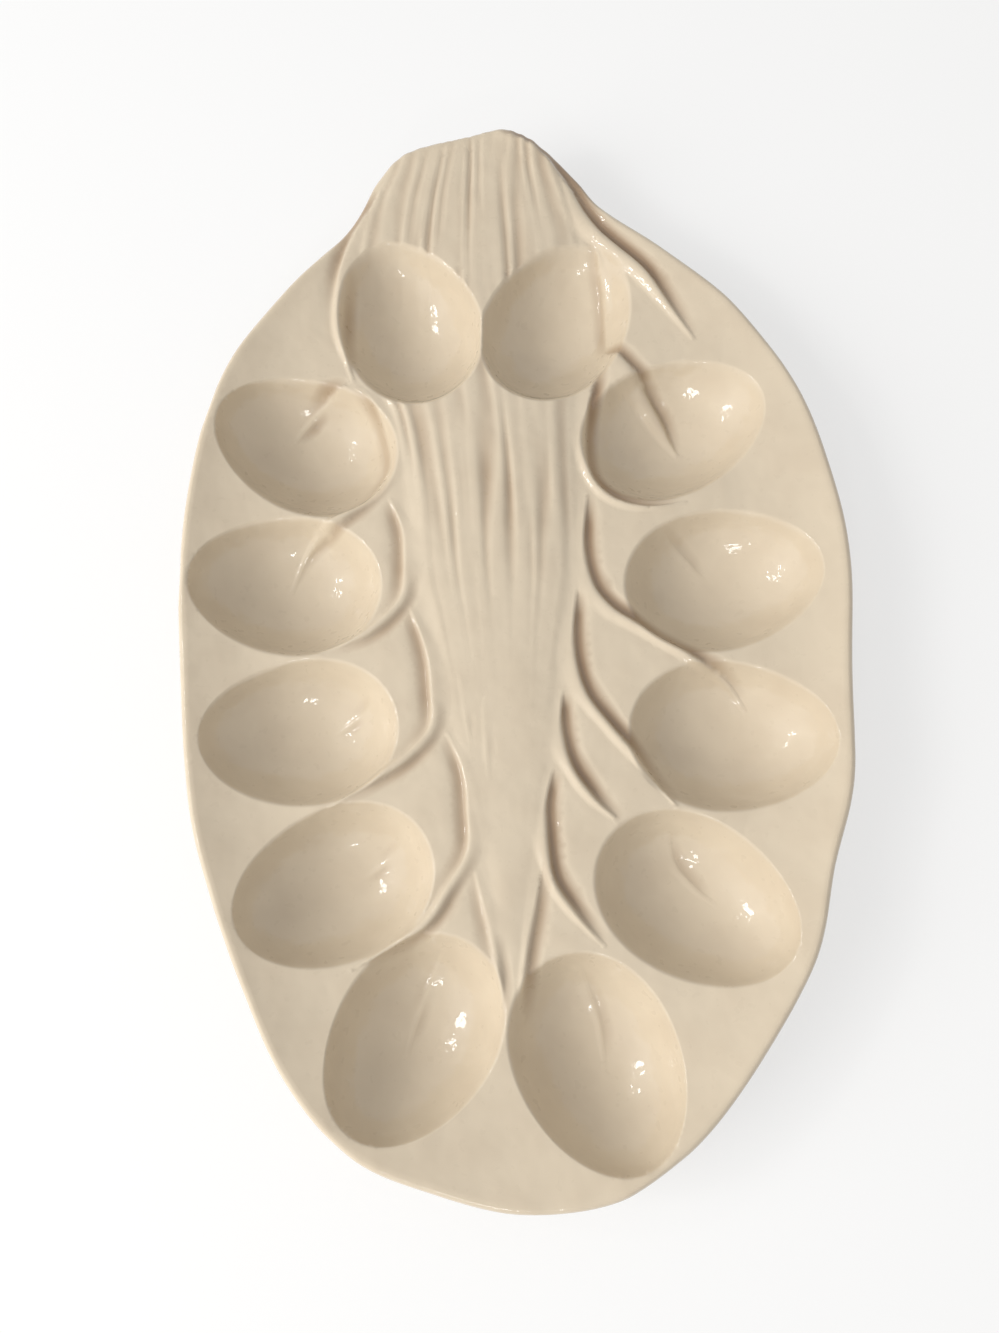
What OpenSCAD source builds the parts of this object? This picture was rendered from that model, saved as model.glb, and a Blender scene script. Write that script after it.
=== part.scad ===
// Leaf-shaped platter for twelve halved eggs: one slip-cast, glazed earthenware casting.
// It is drawn as its fluted leaf and the twelve egg cups that hang under the leaf, which are
// regions of the one casting and meet face to face.
// X runs across the leaf, Y from the leaf's tip to the cut end of its stalk, and Z is up.
// The origin is on the table, under the middle of the leaf's outline.

/* [Leaf] */
// Length from the tip to the cut end of the stalk
leaf_length = 376; // [360:1:400]
// Width across the widest place
leaf_width = 231; // [222:1:250]
// Thickness of the cast leaf
leaf_wall = 4.5; // [3.5:0.1:6]
// Height that the rim rises above the flat of the leaf
rim_rise = 8; // [5:0.5:9]

/* [Egg cups] */
// Length of a cup at its mouth
cup_length = 64; // [58:0.5:66]
// Width of a cup at its mouth
cup_width = 49.4; // [44:0.2:51]
// Depth of a cup below the flat of the leaf
cup_depth = 17; // [13:0.5:20]
// Thickness of a cup's wall
cup_wall = 3.6; // [3:0.1:4]
// Height ground off under each cup, so that it stands flat
foot_grind = 0.8; // [0.5:0.1:1.2]
// Gap between the backs of two cups in a row, under the leaf
cup_gap = 3.6; // [3:0.1:5]
// Land between the last cups and the leaf's tip
tip_land = 11.4; // [8:0.2:14]

/* [Stalk and stems] */
// Height of the stalk's crown above the leaf
stalk_crown = 2; // [1:0.1:3]
// Ribs across the stalk
rib_count = 12; // [8:1:14]
// Depth of the flutes between the ribs
flute_depth = 1.3; // [0.6:0.1:2]
// Width of a side stem
stem_width = 4.2; // [3:0.1:5]
// Height of a side stem above the leaf
stem_height = 1.8; // [1:0.1:2.4]

/* [Hidden] */
half_length = leaf_length / 2;
half_width = leaf_width / 2;
// The flat of the leaf stands this high, on the ground flats of the cups
flat_z = cup_depth + cup_wall - foot_grind;
overrun = leaf_wall / 4;

// Rim: it rises from this share of the leaf's oval out to the edge
rim_start_share = 0.7;
// Rings of the leaf between its edge and its flat, as shares of the way out to the edge
ring_shares = [0.93, 0.85, 0.77, 0.66];
// Angles round the rolled edge, from the middle of its height to its top
edge_angles = [0, 45, 90];
outline_steps = 3;

// Outline, counter-clockwise from the widest place on the right,
// as shares of half the width and half the length
outline_shares = [
    [1.00, 0.07], [0.97, 0.24], [0.89, 0.42], [0.725, 0.60], [0.52, 0.73], [0.33, 0.83],
    [0.25, 0.895], [0.15, 0.96], [0.04, 1.00], [-0.12, 0.985], [-0.30, 0.96], [-0.40, 0.905],
    [-0.50, 0.805], [-0.70, 0.675], [-0.87, 0.52], [-0.965, 0.33], [-1.00, 0.12], [-0.98, -0.12],
    [-0.94, -0.33], [-0.86, -0.50], [-0.76, -0.65], [-0.63, -0.80], [-0.45, -0.915], [-0.23, -0.97],
    [0.00, -1.00], [0.25, -0.98], [0.45, -0.905], [0.62, -0.79], [0.80, -0.62], [0.88, -0.46],
    [0.95, -0.32], [0.975, -0.13]
];

// Cups round the leaf, from the left of the stalk by the tip to the right of the stalk.
// Each has its name, its middle in pitches of the cups, across from the middle of the leaf
// and up from the last cup, and the turn of its narrow end from +X.
cup_shares = [
    ["cup_left_1", [-0.673, 4.906], 112], ["cup_left_2", [-1.363, 4.02], 156],
    ["cup_left_3", [-1.488, 3.019], 172], ["cup_left_4", [-1.374, 2.017], 183],
    ["cup_left_5", [-1.127, 1.037], 202], ["cup_left_6", [-0.628, 0.14], 236],
    ["cup_right_6", [0.461, 0], 295], ["cup_right_5", [1.089, 0.922], 328],
    ["cup_right_4", [1.372, 1.92], 355], ["cup_right_3", [1.389, 2.954], 7],
    ["cup_right_2", [1.125, 4.034], 21], ["cup_right_1", [0.381, 4.871], 58]
];
cup_count = len(cup_shares);
// Narrowing of the egg towards its outer end
egg_share = 0.08;
profile_steps = 20;
mouth_steps = 24;
round_steps = 72;

// A cup is part of an egg-shaped body of revolution, whose axis lies above the leaf
mouth_long = cup_length / 2;
mouth_wide = cup_width / 2;
egg_radius = (mouth_wide * mouth_wide + cup_depth * cup_depth) / (2 * cup_depth);
egg_long = mouth_long * egg_radius / mouth_wide;
axis_lift = egg_radius - cup_depth;

// The cups' walls are one with the leaf down to this height, and the bowls hang below it
neck = leaf_wall + cup_wall;
collar_z = flat_z - neck;
// The cups are spaced by the width of a bowl's back at that height and the gap between two
cup_back = 2 * sqrt(pow(egg_radius + cup_wall, 2) - pow(axis_lift + neck, 2));
cup_pitch = cup_back + cup_gap;
last_cup_y = tip_land + mouth_long - half_length;
function ring_place(share) = [share.x * cup_pitch, last_cup_y + share.y * cup_pitch];

// Stalk stations from the cut end down: place along half the length, then the stalk's middle
// and half its width in pitches of the cups, the share of the crown and the share of the flutes
stalk_shares = [
    [1.04, -0.176, 0.551, 0.8, 1], [0.95, -0.198, 0.595, 0.9, 1], [0.85, -0.232, 0.717, 1, 1],
    [0.75, -0.243, 0.805, 1, 1], [0.60, -0.243, 0.849, 1, 1], [0.50, -0.221, 0.761, 1, 1],
    [0.40, -0.165, 0.628, 1, 1], [0.20, -0.11, 0.562, 1, 0.8], [0.05, -0.099, 0.518, 1, 0.4],
    [-0.10, -0.077, 0.386, 0.9, 0.1], [-0.20, -0.066, 0.331, 0.8, 0], [-0.40, -0.044, 0.165, 0.6, 0],
    [-0.52, -0.033, 0.066, 0.4, 0]
];
rib_steps = 4;
// Depth of the stalk's solid below the leaf's upper face, and height of its sides above it
stalk_root = leaf_wall / 3;
stalk_side = stem_height / 3;

// Side stems from the stalk outwards, each point in pitches of the cups as a cup's middle is
stem_shares = [
    [[0.408, 6.008], [0.617, 5.632], [0.926, 5.273], [1.169, 5.011], [1.389, 4.716]],
    [[0.639, 5.542], [0.706, 5.129], [0.717, 4.627]],
    [[0.662, 4.501], [0.54, 4.088], [0.551, 3.729], [0.728, 3.478], [1.058, 3.46]],
    [[0.529, 3.586], [0.496, 3.191], [0.573, 2.904], [0.794, 2.67], [1.036, 2.491], [1.301, 2.311]],
    [[0.441, 2.904], [0.397, 2.437], [0.518, 2.132], [0.783, 1.791], [1.036, 1.45]],
    [[0.331, 2.222], [0.309, 1.899], [0.419, 1.647], [0.662, 1.396]],
    [[0.243, 1.737], [0.187, 1.324], [0.232, 1.001], [0.54, 0.642]],
    [[0.132, 1.001], [0.055, 0.696], [0.022, 0.373], [-0.022, 0.104]],
    [[-0.849, 5.901], [-1.069, 5.524], [-1.169, 5.093], [-1.158, 4.698], [-1.069, 4.483]],
    [[-1.047, 4.44], [-0.838, 4.196], [-0.783, 3.855], [-0.948, 3.604], [-1.246, 3.46]],
    [[-0.805, 3.604], [-0.684, 3.191], [-0.728, 2.868], [-0.948, 2.663], [-1.257, 2.545]],
    [[-0.662, 2.832], [-0.518, 2.383], [-0.518, 2.042], [-0.761, 1.773], [-1.18, 1.522]],
    [[-0.419, 1.97], [-0.287, 1.612], [-0.287, 1.235], [-0.573, 0.768], [-1.014, 0.535]],
    [[-0.243, 1.145], [-0.11, 0.768], [-0.055, 0.427], [-0.077, 0.068]]
];
stem_steps = 3;
// Cross-section of a stem: shares of its width and of its height, from right to left
stem_section_shares = [[0.6, -0.5], [0.3, 0.75], [0, 1], [-0.3, 0.75], [-0.6, -0.5]];
// Share of a stem's run over which each end tapers away
stem_taper_share = 0.3;

// Point at share t between b and c of a smooth curve through a, b, c and d
function spline(a, b, c, d, t) =
    b + t / 2 * ((c - a) + t * ((2 * a - 5 * b + 4 * c - d) + t * (3 * (b - c) + d - a)));

// Smooth closed curve through every point, with a number of steps between two points
function closed_curve(points, steps) =
    let (n = len(points))
    [for (i = [0:n - 1], k = [0:steps - 1])
        spline(points[(i + n - 1) % n], points[i], points[(i + 1) % n], points[(i + 2) % n], k / steps)];

// Smooth open curve through every point
function open_curve(points, steps) =
    let (last = len(points) - 1)
    concat(
        [for (i = [0:last - 1], k = [0:steps - 1])
            spline(points[max(i - 1, 0)], points[i], points[i + 1], points[min(i + 2, last)], k / steps)],
        [points[last]]);

// The outline's curve, fitted exactly into the leaf's length and width
function fitted(curve) =
    let (
        xs = [for (p = curve) p.x],
        ys = [for (p = curve) p.y],
        mid = [max(xs) + min(xs), max(ys) + min(ys)] / 2,
        half = [max(xs) - min(xs), max(ys) - min(ys)] / 2)
    [for (p = curve) [(p.x - mid.x) / half.x * half_width, (p.y - mid.y) / half.y * half_length]];

leaf_outline = fitted(closed_curve(outline_shares, outline_steps));
outline_count = len(leaf_outline);

// How far out a point lies on the leaf's oval: 1 is the oval through the leaf's four ends
function oval(p) = norm([p.x / half_width, p.y / half_length]);

// Height of the leaf's upper face, without its stalk and stems
function leaf_top(p) = flat_z + rim_rise * pow(max(0, (oval(p) - rim_start_share) / (1 - rim_start_share)), 2);

// Point of the outline moved in towards the middle of the leaf
function inset(p, distance) = p * (1 - distance / norm(p));

// Rings of the leaf's surface, from the middle of the upper face round the edge to the lower face
edge_radius = leaf_wall / 2;
function edge_ring(angle) =
    [for (p = leaf_outline)
        let (q = inset(p, edge_radius * (1 - cos(angle))), crest = leaf_top(inset(p, edge_radius)))
        [q.x, q.y, crest - edge_radius + edge_radius * sin(angle)]];
function face_ring(share, drop) =
    [for (p = leaf_outline) let (q = p * share) [q.x, q.y, leaf_top(q) - drop]];

upper_face = [for (i = [len(ring_shares) - 1:-1:0]) face_ring(ring_shares[i], 0)];
lower_face = [for (share = ring_shares) face_ring(share, leaf_wall)];
upper_edge = [for (i = [len(edge_angles) - 1:-1:0]) edge_ring(edge_angles[i])];
lower_edge = [for (i = [1:len(edge_angles) - 1]) edge_ring(-edge_angles[i])];
// The space that holds the cups' collars: it lies under the leaf's upper face and goes on past
// the leaf's edge at the level of the flat, so that a cup keeps its wall all round wherever it is
collar_reach_share = 1.4;
collar_space = concat(
    [for (i = [len(ring_shares) - 1:-1:0]) face_ring(ring_shares[i], edge_radius)],
    [[for (p = edge_ring(90)) [p.x, p.y, p.z - edge_radius]]],
    [[for (p = leaf_outline) [p.x, p.y, flat_z - edge_radius]]],
    [for (z = [flat_z - edge_radius, collar_z - overrun])
        [for (p = leaf_outline) [p.x * collar_reach_share, p.y * collar_reach_share, z]]]);

// Closed solid through rings that have equally many points, with a flat cap at each end
module loft(rings) {
    count = len(rings[0]);
    last = len(rings) - 1;
    points = [for (ring = rings, p = ring) p];
    sides = [for (i = [0:last - 1], k = [0:count - 1])
        let (a = i * count + k, b = i * count + (k + 1) % count)
        each [[a, b, b + count], [a, b + count, a + count]]];
    caps = [[for (k = [count - 1:-1:0]) k], [for (k = [0:count - 1]) last * count + k]];
    polyhedron(points, concat(sides, caps), convexity = 10);
}

// The leaf's plain sheet, with its raised rim and rolled edge
module sheet() {
    loft(concat(upper_face, upper_edge, lower_edge, lower_face));
}

// The fluted stalk on the leaf
function stalk_section(station) =
    let (
        y = station[0] * half_length,
        mid = station[1] * cup_pitch,
        half = station[2] * cup_pitch,
        n = rib_count * rib_steps,
        crest = [for (k = [0:n])
            let (t = 2 * k / n - 1, x = mid + half * t, rib = abs(sin(180 * k / rib_steps)))
            [x, y, leaf_top([x, y]) + stalk_crown * station[3] * (1 - t * t) + flute_depth * station[4] * rib
                + stalk_side]])
    concat(crest, [for (k = [n:-1:0]) [crest[k].x, y, leaf_top([crest[k].x, y]) - stalk_root]]);

// A side stem: a rounded bead along its curve that tapers away at both ends
function stem_rings(shares) =
    let (
        path = open_curve([for (s = shares) ring_place(s)], stem_steps),
        last = len(path) - 1)
    [for (i = [0:last])
        let (
            ahead = path[min(i + 1, last)] - path[max(i - 1, 0)],
            side = [ahead.y, -ahead.x] / norm(ahead),
            taper = min(1, min(i, last - i) / last / stem_taper_share + stem_taper_share))
        [for (s = stem_section_shares)
            let (q = path[i] + side * s.x * stem_width * taper)
            [q.x, q.y, leaf_top(q) + stem_height * (s.y < 0 ? s.y : s.y * taper)]]];

// What stands up from the leaf's face: the stalk and its stems, cut off at the leaf's outline
module relief() {
    intersection() {
        union() {
            loft([for (station = stalk_shares) stalk_section(station)]);
            for (shares = stem_shares) loft(stem_rings(shares));
        }
        linear_extrude(flat_z + rim_rise + leaf_wall) offset(delta = -edge_radius / 2) polygon(leaf_outline);
    }
}

// Section of an egg at a height above the flat of the leaf, with its narrow end towards +X
function egg_section(long, radius, height) =
    let (fit = sqrt(1 - pow(max(0, axis_lift - height) / radius, 2)))
    [for (k = [0:mouth_steps - 1])
        let (a = 360 * k / mouth_steps)
        [fit * long * cos(a), fit * radius * sin(a) * (1 - egg_share * cos(a))]];

// The part of an egg from a height below the flat of the leaf to one above it
module egg_slice(long, radius, low, high) {
    hull() loft([for (height = [low, low / 2, 0, high])
        [for (p = egg_section(long, radius, height)) [p.x, p.y, flat_z + height]]]);
}

// Body of revolution of an egg along X, with its narrow end towards +X
module egg(long, radius) {
    translate([0, 0, flat_z + axis_lift]) rotate([0, 90, 0]) rotate_extrude($fn = round_steps)
        polygon([for (k = [0:profile_steps])
            let (a = 180 * k / profile_steps)
            [radius * sin(a) * (1 - egg_share * cos(a)), long * cos(a)]]);
}

// Puts a cup's shape at its place on the leaf
module at_cup(i) {
    translate(ring_place(cup_shares[i][1])) rotate([0, 0, cup_shares[i][2]]) children();
}

// The walls round the cups' mouths, from the upper face down to the tops of the bowls
module collars() {
    intersection() {
        loft(collar_space);
        for (i = [0:cup_count - 1]) at_cup(i)
            egg_slice(egg_long + cup_wall, egg_radius + cup_wall, -neck, axis_lift);
    }
}

// The leaf of the platter, open over every cup
module leaf() {
    color("#e9e2d3") difference() {
        union() {
            sheet();
            collars();
            relief();
        }
        for (i = [0:cup_count - 1]) at_cup(i)
            egg_slice(egg_long, egg_radius, -neck - overrun, axis_lift + stalk_crown + flute_depth);
    }
}

// The bowl of a cup, under the flat of the leaf, with its foot ground flat
module cup(i) {
    reach = 2 * cup_length;
    color("#e4dccb") at_cup(i) difference() {
        intersection() {
            egg(egg_long + cup_wall, egg_radius + cup_wall);
            translate([-reach / 2, -reach / 2, 0]) cube([reach, reach, collar_z]);
        }
        egg(egg_long, egg_radius);
    }
}

leaf();
for (i = [0:cup_count - 1]) cup(i);
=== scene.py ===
"""Looks of the leaf platter for twelve halved eggs.

The platter is one slip-cast earthenware casting with a glossy ivory glaze, so one fine skin stands for
the leaf and its twelve cups. The skin starts as a flat blank, whose points are laid along the rim, the
side stems, the flutes and the mouths of the cups. A Geometry Nodes tree then gives it its form: it
raises the rim, presses the cups and lays the fluted stalk and the stems on the leaf.
Sizes are in millimetres in the classes, apart from the lamps', and in metres in Blender.
"""

import logging
import math
from dataclasses import dataclass
from enum import Enum

import bpy
import numpy as np
from bpy.types import Material, Node, NodeSocket, NodeTree, Object, World
from mathutils import Matrix, Vector
from mathutils.geometry import delaunay_2d_cdt
from mathutils.kdtree import KDTree


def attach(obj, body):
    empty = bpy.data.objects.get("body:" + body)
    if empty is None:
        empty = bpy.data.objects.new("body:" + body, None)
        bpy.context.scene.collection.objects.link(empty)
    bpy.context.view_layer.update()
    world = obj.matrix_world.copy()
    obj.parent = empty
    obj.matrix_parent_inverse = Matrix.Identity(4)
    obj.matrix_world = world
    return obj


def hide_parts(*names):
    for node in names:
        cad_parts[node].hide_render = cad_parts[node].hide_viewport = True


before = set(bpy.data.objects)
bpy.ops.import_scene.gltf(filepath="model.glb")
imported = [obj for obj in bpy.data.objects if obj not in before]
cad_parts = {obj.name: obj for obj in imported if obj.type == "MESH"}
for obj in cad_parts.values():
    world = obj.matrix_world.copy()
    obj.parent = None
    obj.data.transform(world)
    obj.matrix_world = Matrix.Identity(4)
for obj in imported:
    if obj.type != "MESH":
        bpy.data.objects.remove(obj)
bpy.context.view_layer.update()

log = logging.getLogger("leaf_platter")
MM = 0.001
# A plan is an array of points, with a row of x and y for each.
Plan = np.ndarray
Names = tuple[str, ...]
# The Math node's word for each sign of a worksheet.
SIGNS = {"+": "ADD", "-": "SUBTRACT", "*": "MULTIPLY", "/": "DIVIDE"}


def linear(code: str) -> tuple[float, float, float, float]:
    """Turns an sRGB hex colour to a linear one, by the curve of the sRGB standard.

    Args:
        code: The colour, such as "#E9E2D3".

    Returns:
        Linear red, green and blue, and an alpha of 1.
    """
    parts = [int(code[i:i + 2], 16) / 255 for i in (1, 3, 5)]
    return tuple(c / 12.92 if c <= 0.04045 else ((c + 0.055) / 1.055) ** 2.4 for c in parts) + (1.0,)


def add_node(tree: NodeTree, kind: str, links: dict | None = None, **settings: object) -> Node:
    """Adds a node with its settings and what goes into its sockets.

    Args:
        tree: Tree that takes the node.
        kind: Blender's name of the node.
        links: Sockets by name or number, each with a socket to link or a value to set.
        **settings: Properties of the node by name.

    Returns:
        The new node.
    """
    node = tree.nodes.new(kind)
    for name, value in settings.items():
        setattr(node, name, value)
    for socket, value in (links or {}).items():
        if isinstance(value, NodeSocket):
            tree.links.new(value, node.inputs[socket])
        else:
            node.inputs[socket].default_value = value
    return node


def result(tree: NodeTree, known: dict, term: object) -> object:
    """Finds what a term of a worksheet stands for, and adds the nodes that it needs.

    Args:
        tree: Tree that takes the nodes.
        known: Sockets and numbers by name.
        term: A number, a name, a sum of two terms with its sign between them, or a tuple of a kind of node
            and what goes into it: terms in the order of its sockets, or a dictionary of terms by socket. A
            kind in capitals is an operation of the Math node.

    Returns:
        The number, or the socket that is known or is the new node's first output.
    """
    if isinstance(term, str):
        return known[term]
    if not isinstance(term, tuple):
        return term
    kind, *terms = term
    if isinstance(terms[0], str) and terms[0] in SIGNS:
        kind, terms = SIGNS[terms[0]], [kind, terms[1]]
    into = terms[0] if isinstance(terms[0], dict) else dict(enumerate(terms))
    links = {socket: result(tree, known, inner) for socket, inner in into.items()}
    settings = {"operation": kind} if kind.isupper() else {}
    return add_node(tree, "ShaderNodeMath" if settings else kind, links, **settings).outputs[0]


def work_out(tree: NodeTree, known: dict, sheet: dict[str, tuple]) -> dict:
    """Adds the nodes of a worksheet, whose lines may use the results above them.

    Args:
        tree: Tree that takes the nodes.
        known: Sockets and numbers by name.
        sheet: The term that gives each result, by the result's name.

    Returns:
        The sockets and numbers by name, with the results among them.
    """
    for name, term in sheet.items():
        known[name] = result(tree, known, term)
    return known


def white_rays(tree: NodeTree, share: float) -> NodeSocket:
    """Tells the rays that see a background as white from those that light the object.

    Args:
        tree: Tree of the material or the world.
        share: What is given for such a ray.

    Returns:
        The share for camera, glossy and transmission rays, and 0 for others.
    """
    path = add_node(tree, "ShaderNodeLightPath")
    camera, glossy, through = (path.outputs[f"Is {n} Ray"] for n in ("Camera", "Glossy", "Transmission"))
    return result(tree, {}, (("MAXIMUM", ("MAXIMUM", camera, glossy), through), "*", share))


def empty_tree(owner: Material | World) -> NodeTree:
    """Gives a material or a world a node tree with nothing in it.

    Args:
        owner: The material or the world.

    Returns:
        Its tree.
    """
    owner.use_nodes = True
    owner.node_tree.nodes.clear()
    return owner.node_tree


def smooth_curve(points: Plan, steps: int, closed: bool) -> Plan:
    """Draws a smooth curve through every point.

    Args:
        points: Points in plan.
        steps: Steps between two points.
        closed: Whether the curve goes back to its start.

    Returns:
        Points along the curve.
    """
    n = len(points)
    at = (lambda i: points[i % n]) if closed else (lambda i: points[min(max(i, 0), n - 1)])
    out = []
    for i in range(n if closed else n - 1):
        a, b, c, d = at(i - 1), at(i), at(i + 1), at(i + 2)
        for k in range(steps):
            t = k / steps
            # The cubic from b to c that runs parallel to a-c at b and to b-d at c.
            out.append(b + t / 2 * ((c - a) + t * ((2 * a - 5 * b + 4 * c - d) + t * (3 * (b - c) + d - a))))
    if not closed:
        out.append(points[-1])
    return np.array(out)


def even_steps(line: Plan, spacing: float) -> Plan:
    """Spaces points evenly along an open line.

    Args:
        line: Points of the line.
        spacing: Wanted distance between two points.

    Returns:
        The new points, with the line's two ends among them.
    """
    run = np.r_[0, np.cumsum(np.linalg.norm(np.diff(line, axis=0), axis=1))]
    at = np.linspace(0, run[-1], max(2, round(run[-1] / spacing) + 1))
    return np.c_[np.interp(at, run, line[:, 0]), np.interp(at, run, line[:, 1])]


class Hand(Enum):
    """Side on which a stem's root runs into what it parts from, seen along the stem from its root."""

    RIGHT = 1
    LEFT = -1


@dataclass(frozen=True)
class EggCup:
    """One cup: its middle in plan and the turn of its narrow end from +X, in degrees."""

    node: str
    x: float
    y: float
    turn: float

    def out(self, along: np.ndarray, across: np.ndarray) -> Plan:
        """Places points in plan, given their distances towards the cup's narrow end and across it."""
        c, s = math.cos(math.radians(self.turn)), math.sin(math.radians(self.turn))
        return np.c_[self.x + along * c - across * s, self.y + along * s + across * c]


@dataclass(frozen=True)
class Stem:
    """One raised stem or fine vein: how high and how creased it is, and its path from its root outwards."""

    hand: Hand
    rise: float
    crease: float
    path: tuple[tuple[float, float], ...]
    breadth: float = 1.0


@dataclass(frozen=True)
class BeadForm:
    """Form of a stem's bead and of the grooves beside it, as shares and slopes.

    Breadths and heights are shares of the full ones, and slopes are per length of the stem. What ends in
    "right" is added for a stem whose hand is right.
    """

    end_breadth: float = 0.25
    end_slope: float = 2.6
    thin_breadth: float = 0.55
    rise_breadth: float = 0.45
    soft: float = 0.3
    bump_power: float = 1.7
    root_length: float = 0.38
    root_length_right: float = -0.1
    root_slope: float = 4.0
    root_spread: float = 1.6
    root_height: float = 0.55
    root_height_right: float = -0.15
    groove_half: float = 0.38
    near_wall: float = 1.7
    near_wall_right: float = -0.7
    far_wall: float = 2.2
    hollow_power: float = 1.6
    near_groove: float = 0.05
    near_groove_out: float = 0.9
    far_groove_out: float = -0.8
    groove_start: float = 0.12
    groove_slope: float = 9.0
    tip_start: float = 0.04
    tip_slope: float = 3.2
    beside_start: float = -0.3
    beside_slope: float = 1.6
    beside_soft: float = 0.2


@dataclass
class Leaf:
    """The leaf's sheet: its outline, its raised rim with slow waves, and its rolled edge."""

    length: float = 376.0
    width: float = 231.0
    wall: float = 4.5
    flat: float = 19.8
    rim_rise: float = 8.0
    rim_start: float = 0.7
    wave: float = 1.5
    wave_size: float = 42.0
    wave_inside: float = 0.4
    wave_at_rim: float = 1.6
    outline_shares: tuple[tuple[float, float], ...] = (
        (1.00, 0.07), (0.97, 0.24), (0.89, 0.42), (0.725, 0.60), (0.52, 0.73), (0.33, 0.83), (0.25, 0.895),
        (0.15, 0.96), (0.04, 1.00), (-0.12, 0.985), (-0.30, 0.96), (-0.40, 0.905), (-0.50, 0.805),
        (-0.70, 0.675), (-0.87, 0.52), (-0.965, 0.33), (-1.00, 0.12), (-0.98, -0.12), (-0.94, -0.33),
        (-0.86, -0.50), (-0.76, -0.65), (-0.63, -0.80), (-0.45, -0.915), (-0.23, -0.97), (0.00, -1.00),
        (0.25, -0.98), (0.45, -0.905), (0.62, -0.79), (0.80, -0.62), (0.88, -0.46), (0.95, -0.32),
        (0.975, -0.13))
    edge_steps: int = 10
    outline_steps: int = 15

    @property
    def half(self) -> np.ndarray:
        """Half of the width and half of the length."""
        return np.array([self.width, self.length]) / 2

    @property
    def edge_radius(self) -> float:
        """Radius of the rolled edge."""
        return self.wall / 2

    def outline(self) -> Plan:
        """Fits the outline exactly into the leaf's width and length.

        Returns:
            Points in plan.
        """
        curve = smooth_curve(np.array(self.outline_shares), self.outline_steps, True)
        low, high = curve.min(axis=0), curve.max(axis=0)
        return (curve - (low + high) / 2) / ((high - low) / 2) * self.half

    def inset(self, distance: float) -> Plan:
        """The outline moved in towards the middle of the leaf by a distance."""
        line = self.outline()
        return line * (1 - distance / np.linalg.norm(line, axis=1, keepdims=True))


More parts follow.
